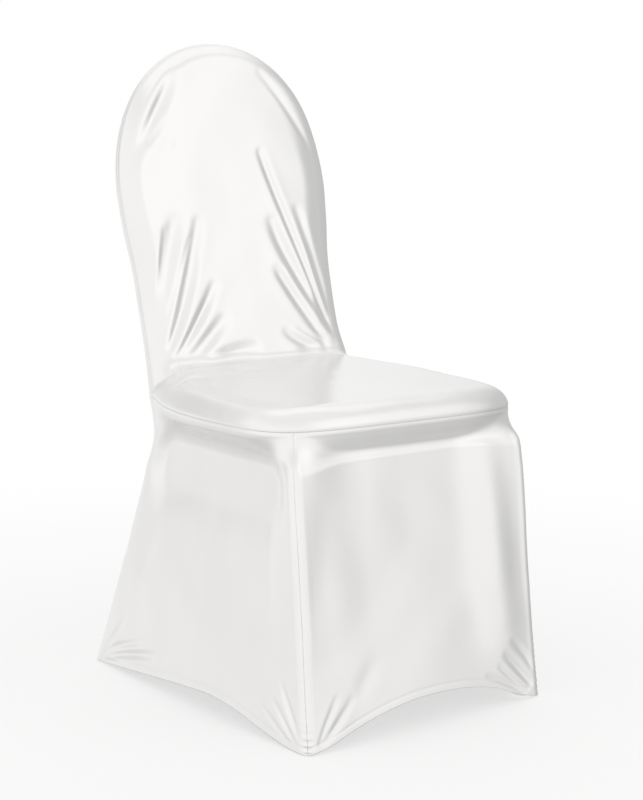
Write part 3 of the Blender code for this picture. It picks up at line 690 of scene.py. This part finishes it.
KNOB = (0.2110, -0.1900, 0.3830)
KNOB_PUSH = 0.0044
KNOB_REACH = 0.0110
KNOB_HOLLOW = 0.0018
KNOB_HOLLOW_REACH = 0.0260

PUCKER_PITCH = 0.0085
PUCKER_DEPTH = 0.0005
PUCKER_REACH = 0.006


def shares_along(points):
    steps = np.linalg.norm(np.diff(points, axis=0), axis=1)
    return np.concatenate([[0], np.cumsum(steps)]) / steps.sum()


def spaced(line, count):
    """Places along a line, closer together towards both of its ends, and their shares of it."""
    t = np.linspace(0, 1, count)
    share = t - 0.10 * np.sin(2 * np.pi * t)
    known = shares_along(line)
    return share, np.stack([np.interp(share, known, line[:, k]) for k in range(3)], -1)


def seat_seam(half):
    """Edge of the front panel from the back's corner to the leg's corner, and on to its middle."""
    edge = half[0][SIDE_STEPS + CROWN_STEPS + 1:, 0]
    start = int(np.argmin(np.abs(CREASE_ROWS - 0.5)))
    corner = len(CREASE_ROWS) + SEAT_SIDE_STEPS + SEAT_CORNER_STEPS
    return edge[start: corner + 1], edge[corner:]


def held_band(seam, share, hem, width, lean, inner_side=1):
    """A skirt as the seat frame alone would hold it: its rows' heights, how far they drop below the
    seam, how near they are to a corner, and their places in plan. The inner side is on the left of
    the seam's run, or on its right for -1."""
    down = SKIRT_ROWS[:, None]
    z = seam[None, :, 2] * (1 - down) + through(hem, share) * down
    drop = seam[None, :, 2] - z
    run = unit(np.gradient(seam[:, :2], axis=0))
    inward = np.stack([-run[:, 1], run[:, 0]], -1) * inner_side
    near_corner = np.exp(-((np.minimum(share, 1 - share) * width / CORNER_REACH) ** 2))
    band = (0.30 * drop**2 / 0.03 + lean * drop) * (1 - near_corner)
    held = seam[None, :, :2] + inward[None] * band[..., None]
    return z, drop, near_corner, held


def front_skirt_places():
    seam = np.concatenate([seat_seam(left_half)[1], seat_seam(right_half)[1][::-1][1:]])
    share, seam = spaced(seam, FRONT_COLUMNS)
    share = share[None, :]
    z, drop, near_corner, held = held_band(seam, share, FRONT_HEM, FRONT_WIDTH, 0.06)
    leg_x, leg_y = legs_at(FRONT_LEG, z)
    length = 2 * leg_x
    along = SEAM_ON_LEG + share * (length - 2 * SEAM_ON_LEG)
    x = along - leg_x
    gap = np.minimum(along, length - along)
    recess = FRONT_RECESS * eased(0.006, 0.130, gap) * np.clip((z - 0.03) / 0.37, 0, 1)
    belly = FRONT_BELLY * np.sin(np.pi * along / length) * (1 - eased(0.05, 0.25, z))
    y = leg_y + corner_inset(along, length) + recess - belly + uneven(x, z)
    y = y + folds_at(FRONT_FOLDS, x, z) * eased(0, 0.05, np.minimum(share, 1 - share))
    leg = np.stack([x, y], -1)
    turned = eased(0.022 - 0.022 * near_corner, 0.046 + 0.014 * near_corner, drop)[..., None]
    plan = held * (1 - turned) + leg * turned
    return np.concatenate([plan, z[..., None]], axis=-1)


def over_knees(places):
    """The small round knobs where the front legs meet the seat frame push the knit out."""
    for side in (-1, 1):
        far = np.linalg.norm((places - np.array(KNOB) * [side, 1, 1]) * [1, 1, 0.8], axis=-1)
        push = KNOB_PUSH * np.exp(-((far / KNOB_REACH) ** 2))
        push = push - KNOB_HOLLOW * np.exp(-((far / KNOB_HOLLOW_REACH) ** 2))
        places = places + push[..., None] * np.array([side * 0.71, -0.71, 0.0])
    return places


def puckered(beside, z):
    """How far the seam's stitches gather the knit beside them, most near the foot."""
    rows = np.sin(2 * np.pi * z / PUCKER_PITCH + 1.4 * np.sin(z * 130))
    near = np.exp(-((beside / PUCKER_REACH) ** 2))
    return PUCKER_DEPTH * rows * near * (0.2 + 0.8 * eased(0.10, 0.06, z))


def skirt_sheet(name, places, outward):
    """A skirt's sheet, with a dip along its seams and hem, and its cut laid flat."""
    places = over_knees(places)
    beside = lengths_along(places, 1)
    flat = np.stack([beside - beside[:, -1:] / 2, places[..., 2]], -1)
    under = lengths_along(places, 0)
    beside = np.minimum(beside, beside[:, -1:] - beside)
    deep = seam_dip(np.minimum(beside, under)) + puckered(beside, places[..., 2]) + hem_dip(under)
    return sheet_of_knit(name, [(sunk(places, deep, outward), flat)], outward)


front_grid = front_skirt_places()
front_skirt = skirt_sheet("cover_front_skirt", front_grid, (0, -1, 0))
front_skirt.data.materials.append(glossy_knit("glossy_white_knit_front"))
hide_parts("front_skirt")
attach(front_skirt, "root")


# Side skirts
# Two mirrored cuts reach from the seat's side seams down over the bent leg tubes to an arched
# hem. The knit is drawn over the tube's arch and lies a little inside it.

SIDE_HEM = (
    # share of the way from the rear leg, height
    (0.00, 0.0000),
    (0.12, 0.0060),
    (0.31, 0.0160),
    (0.49, 0.0250),
    (0.60, 0.0280),
    (0.71, 0.0230),
    (0.82, 0.0105),
    (0.92, 0.0020),
    (1.00, 0.0000),
)
LEFT_FOLDS = (
    # from, from, by, by, to, to, width, depth
    (0.286, 0.016, 0.244, 0.036, 0.182, 0.056, 0.0055, 0.0030),
    (0.288, 0.008, 0.225, 0.028, 0.140, 0.046, 0.0068, 0.0034),
    (0.280, 0.026, 0.254, 0.050, 0.226, 0.082, 0.0055, 0.0024),
    (-0.180, 0.082, -0.197, 0.054, -0.222, 0.020, 0.0058, 0.0028),
    (-0.164, 0.056, -0.185, 0.036, -0.212, 0.012, 0.0048, 0.0022),
    (-0.140, 0.042, -0.170, 0.024, -0.204, 0.007, 0.0044, 0.0015),
)
RIGHT_FOLDS = (
    # from, from, by, by, to, to, width, depth
    (-0.125, 0.330, -0.150, 0.240, -0.180, 0.090, 0.0160, 0.0022),
    (0.245, 0.034, 0.190, 0.058, 0.120, 0.060, 0.0110, 0.0020),
)
SIDE_COLUMNS = 181
SIDE_WIDTH = 0.42
SIDE_RECESS = 0.011
SIDE_BELLY = 0.006

# The bent side tube: the height of its top, the radius of its bends, and how far inside the
# skirt's front and rear seams it stands.
ARCH_TOP = 0.398
ARCH_BEND = 0.050
ARCH_FROM_FRONT = 0.020
ARCH_FROM_REAR = 0.018


def arch_inside(front_gap, rear_gap, below):
    """Distance inside the arch that the bent side tube draws."""
    near = np.minimum(front_gap - ARCH_FROM_FRONT, rear_gap - ARCH_FROM_REAR)
    across, down = np.maximum(ARCH_BEND - near, 0), np.maximum(ARCH_BEND - below, 0)
    return ARCH_BEND - np.hypot(across, down)


def pinned(grid, share, first, last):
    """The sheet eased over at both ends, so that it meets its neighbours on their seam lines."""
    start = (1 - share)[..., None] ** 12
    end = share[..., None] ** 12
    return grid + (first - grid[:, 0])[:, None, :] * start + (last - grid[:, -1])[:, None, :] * end


def side_skirt_places(side, half, folds, rear_seam, front_seam):
    share, seam = spaced(seat_seam(half)[0], SIDE_COLUMNS)
    share = share[None, :]
    z, drop, near_corner, held = held_band(seam, share, SIDE_HEM, SIDE_WIDTH, 0.05, -side)
    rear_x, rear_y = legs_at(REAR_LEG, z)
    front_x, front_y = legs_at(FRONT_LEG, z)
    length = np.hypot(front_x - rear_x, front_y - rear_y)
    along = SEAM_ON_LEG + share * (length - 2 * SEAM_ON_LEG)
    part = along / length
    x = rear_x + (front_x - rear_x) * part
    y = rear_y + (front_y - rear_y) * part
    arch = arch_inside(length - along, along, ARCH_TOP - z)
    recess = SIDE_RECESS * eased(-0.004, 0.034 + 0.05 * eased(0.34, 0.24, z), arch)
    recess = recess * (0.1 + 0.9 * eased(0.10, 0.36, z)) + uneven(y, z)
    belly = SIDE_BELLY * np.sin(np.pi * part) * (1 - eased(0.05, 0.30, z))
    x = x - corner_inset(along, length) - recess + belly
    x = x - folds_at(folds, y, z) * eased(0, 0.05, np.minimum(share, 1 - share))
    leg = np.stack([x * side, y], -1)
    turned = eased(0.010 - 0.010 * near_corner, 0.038 + 0.022 * near_corner, drop)[..., None]
    plan = held * (1 - turned) + leg * turned
    grid = np.concatenate([plan, z[..., None]], axis=-1)
    return pinned(grid, share, rear_seam, front_seam)


for name, side, half, folds, column in (
    ("side_skirt_left", -1, left_half, LEFT_FOLDS, 0),
    ("side_skirt_right", 1, right_half, RIGHT_FOLDS, -1),
):
    side_grid = side_skirt_places(side, half, folds, lower[:, column], front_grid[:, column])
    skirt = skirt_sheet("cover_" + name, side_grid, (side, 0, 0))
    skirt.data.materials.append(glossy_knit("glossy_white_knit_" + name))
    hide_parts(name)
    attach(skirt, "root")


# Foot pockets
# A small closed cup of doubled matt knit is sewn inside each bottom corner. A foot of the chair
# stands in it and holds the hem down.

POCKET_RADIUS = 0.0185
POCKET_FLOOR_RADIUS = 0.0095
POCKET_WALL = 0.0015
POCKET_HEIGHT = 0.056
POCKET_PUCKER = 0.0006
# How far the cup's middle stands in from both faces of its corner.
POCKET_INSET = POCKET_RADIUS + 0.0028
# Up to this height the cup stands straight, and above it it leans with the leg.
POCKET_STRAIGHT = 0.010
POCKET_LEVELS = (
    # height, how much narrower
    (0.0008, 0.0062),
    (0.0024, 0.0038),
    (0.0048, 0.0019),
    (0.0082, 0.0007),
    (0.0130, 0.0001),
    (0.0200, 0.0000),
    (0.0300, 0.0000),
    (0.0430, 0.0002),
    (POCKET_HEIGHT, 0.0005),
)


def matt_knit(name):
    material = bpy.data.materials.new(name)
    material.use_nodes = True
    tree = material.node_tree
    tree.nodes.clear()
    start = Wire(tree)
    place = start.node("ShaderNodeTexCoord", output=3)
    loops = start.node("ShaderNodeTexNoise", sockets={"Vector": place, "Scale": 900.0, "Detail": 2.0})
    worn = start.node("ShaderNodeTexNoise", sockets={"Vector": place, "Scale": 60.0, "Detail": 3.0})
    colour = start.node(
        "ShaderNodeMix",
        {"data_type": "RGBA"},
        {"Factor": worn, "A": (0.90, 0.90, 0.89, 1), "B": (0.96, 0.96, 0.955, 1)},
        output=2,
    )
    bump = start.node("ShaderNodeBump", sockets={"Strength": 0.4, "Distance": 0.0003, "Height": loops})
    shader = start.node(
        "ShaderNodeBsdfPrincipled",
        sockets={"Base Color": colour, "Roughness": 0.75 + 0.15 * worn, "Normal": bump, "Sheen Weight": 0.3},
    )
    start.node("ShaderNodeOutputMaterial", sockets={"Surface": shader})
    return material


pocket_knit = matt_knit("matt_white_pocket_knit")
for name, side, rows, lean in (
    ("foot_pocket_front_left", -1, FRONT_LEG, 1),
    ("foot_pocket_front_right", 1, FRONT_LEG, 1),
    ("foot_pocket_rear_left", -1, REAR_LEG, -1),
    ("foot_pocket_rear_right", 1, REAR_LEG, -1),
):
    cup = bmesh.new()
    bmesh.ops.create_circle(cup, cap_ends=True, radius=POCKET_FLOOR_RADIUS, segments=64)
    rim = [edge for edge in cup.edges if edge.is_boundary]
    for z, narrower in POCKET_LEVELS:
        grown = bmesh.ops.extrude_edge_only(cup, edges=rim)["geom"]
        ring = [item for item in grown if isinstance(item, bmesh.types.BMVert)]
        rim = [item for item in grown if isinstance(item, bmesh.types.BMEdge)]
        for vertex in ring:
            turn = np.arctan2(vertex.co.y, vertex.co.x)
            pucker = POCKET_PUCKER * np.sin(9 * turn + 40 * z) * z / POCKET_HEIGHT
            radius = POCKET_RADIUS - narrower - POCKET_PUCKER + pucker
            vertex.co = (radius * np.cos(turn), radius * np.sin(turn), z)
    for vertex in cup.verts:
        x, y = legs_at(rows, max(vertex.co.z, POCKET_STRAIGHT))
        vertex.co.x += side * (x - POCKET_INSET)
        vertex.co.y += y + lean * POCKET_INSET - MIDDLE_Y
    bmesh.ops.recalc_face_normals(cup, faces=cup.faces)
    floor_face = min(cup.faces, key=lambda face: face.calc_center_median().z)
    if floor_face.normal.z > 0:
        bmesh.ops.reverse_faces(cup, faces=cup.faces)
    mesh = bpy.data.meshes.new(name)
    cup.to_mesh(mesh)
    cup.free()
    mesh.shade_smooth()
    pocket = bpy.data.objects.new("sewn_" + name, mesh)
    bpy.context.scene.collection.objects.link(pocket)
    wall = pocket.modifiers.new("doubled_knit", "SOLIDIFY")
    wall.thickness = POCKET_WALL
    wall.offset = -1
    mesh.materials.append(pocket_knit)
    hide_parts(name)
    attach(pocket, "root")


# Floor and light
# A plain pale studio floor runs out into a white surround, which the gloss mirrors: a little grey
# low down, overhead and to the right, with two grey screens behind the cover. Two large soft
# lamps stand in front and above.

FLOOR_DROP = 0.0008


def ramp(at, start, end, first, last):
    """A soft change from one value to another while a wire's value runs from start to end."""
    stops = {0: at, 1: start, 2: end, 3: first, 4: last}
    return at.node("ShaderNodeMapRange", {"interpolation_type": "SMOOTHSTEP"}, stops)


ground = bmesh.new()
bmesh.ops.create_grid(ground, x_segments=8, y_segments=8, size=6)
ground_mesh = bpy.data.meshes.new("studio_floor")
ground.to_mesh(ground_mesh)
ground.free()
studio_floor = bpy.data.objects.new("studio_floor", ground_mesh)
studio_floor.location.z = -FLOOR_DROP
bpy.context.scene.collection.objects.link(studio_floor)
pale = bpy.data.materials.new("pale_floor")
pale.use_nodes = True
pale.node_tree.nodes.clear()
paint = Wire(pale.node_tree)
spot = paint.node("ShaderNodeTexCoord", output=3)
away = paint.node("ShaderNodeVectorMath", {"operation": "LENGTH"}, {0: spot}, output=1)
fade = ramp(away, 0.4, 1.8, 0.60, 1.0)
matt = paint.node("ShaderNodeBsdfDiffuse", sockets={"Color": (0.97, 0.965, 0.96, 1)})
white = paint.node("ShaderNodeEmission", sockets={"Color": (1, 1, 1, 1), "Strength": 1.0})
both = paint.node("ShaderNodeMixShader", sockets={0: fade, 1: matt, 2: white})
paint.node("ShaderNodeOutputMaterial", sockets={"Surface": both})
ground_mesh.materials.append(pale)
studio_floor.visible_glossy = False
studio_floor.visible_diffuse = False
studio_floor.visible_shadow = False

world = bpy.data.worlds.new("studio")
bpy.context.scene.world = world
world.use_nodes = True
world.node_tree.nodes.clear()
sky = Wire(world.node_tree)
seen = sky.node("ShaderNodeLightPath", output=0)
way = sky.node("ShaderNodeTexCoord", output=0)
height = sky.node("ShaderNodeSeparateXYZ", sockets={0: way}, output=2)
rightward = sky.node("ShaderNodeVectorMath", {"operation": "DOT_PRODUCT"}, {0: way, 1: (1, 0, 0)}, output=1)
leaning = height - rightward * 0.12
low = ramp(leaning, -0.70, 0.0, 0.60, 0.985)
high = ramp(height, 0.45, 0.80, 1.0, 0.90)
wing = ramp(rightward, 0.59, 0.91, 1.0, 0.52)
lit = low * high * wing
for toward, edge, core, dim in (
    # The screens: one behind and above the seat, one behind, lower and to the left.
    ((-0.251, 0.922, 0.296), 0.880, 0.985, 0.71),
    ((-0.624, 0.781, -0.020), 0.962, 0.990, 0.85),
):
    facing = sky.node("ShaderNodeVectorMath", {"operation": "DOT_PRODUCT"}, {0: way, 1: toward}, output=1)
    lit = lit * ramp(facing, edge, core, 1.0, dim)
# What the camera sees of the surround itself stays white.
strength = lit + seen * (1.0 - lit)
around = sky.node("ShaderNodeBackground", sockets={"Color": (1, 1, 1, 1), "Strength": strength})
sky.node("ShaderNodeOutputWorld", sockets={"Surface": around})

for name, place, target, wide, tall, glow in (
    ("front_lamp", (1.2, -1.65, 1.57), (0.0, 0.0, 0.75), 2.0, 1.4, 0.12),
    ("crown_lamp", (0.30, 0.20, 1.55), (0.30, 0.21, 0.90), 1.5, 0.7, 0.16),
):
    lamp = bpy.data.lights.new(name, "AREA")
    lamp.shape = "RECTANGLE"
    lamp.size = wide
    lamp.size_y = tall
    lamp.energy = np.pi * wide * tall * glow
    stand = bpy.data.objects.new(name, lamp)
    stand.location = place
    stand.rotation_euler = (Vector(target) - Vector(place)).to_track_quat("-Z", "Y").to_euler()
    stand.visible_camera = False
    bpy.context.scene.collection.objects.link(stand)


# Camera
# It stands to the left of the cover's front, 0.79 m up, looks slightly down and is rolled by about
# half a degree. It was fitted to the outline and seams of the cover in the photograph.

AIM = (0.0054, -0.0206, 0.424)
DISTANCE = 2.564
PHOTO_HEIGHT = 800
FOCAL_PIXELS = 1749.09
SENSOR = 36

azimuth, elevation, roll = np.radians((-39.03, 8.245, 0.5645))
level = np.cos(elevation)
back = Vector((np.sin(azimuth) * level, -np.cos(azimuth) * level, np.sin(elevation)))
right = Vector((np.cos(azimuth), np.sin(azimuth), 0))
up = back.cross(right)
turned_right = right * np.cos(roll) + up * np.sin(roll)
turned_up = up * np.cos(roll) - right * np.sin(roll)
turn = Matrix((turned_right, turned_up, back)).transposed()
camera = bpy.data.objects.new("camera", bpy.data.cameras.new("camera"))
camera.matrix_world = Matrix.Translation(Vector(AIM) + back * DISTANCE) @ turn.to_4x4()
camera.data.lens = FOCAL_PIXELS / PHOTO_HEIGHT * SENSOR
camera.data.sensor_width = SENSOR
bpy.context.scene.collection.objects.link(camera)
bpy.context.scene.camera = camera
bpy.context.scene.view_settings.view_transform = "Standard"
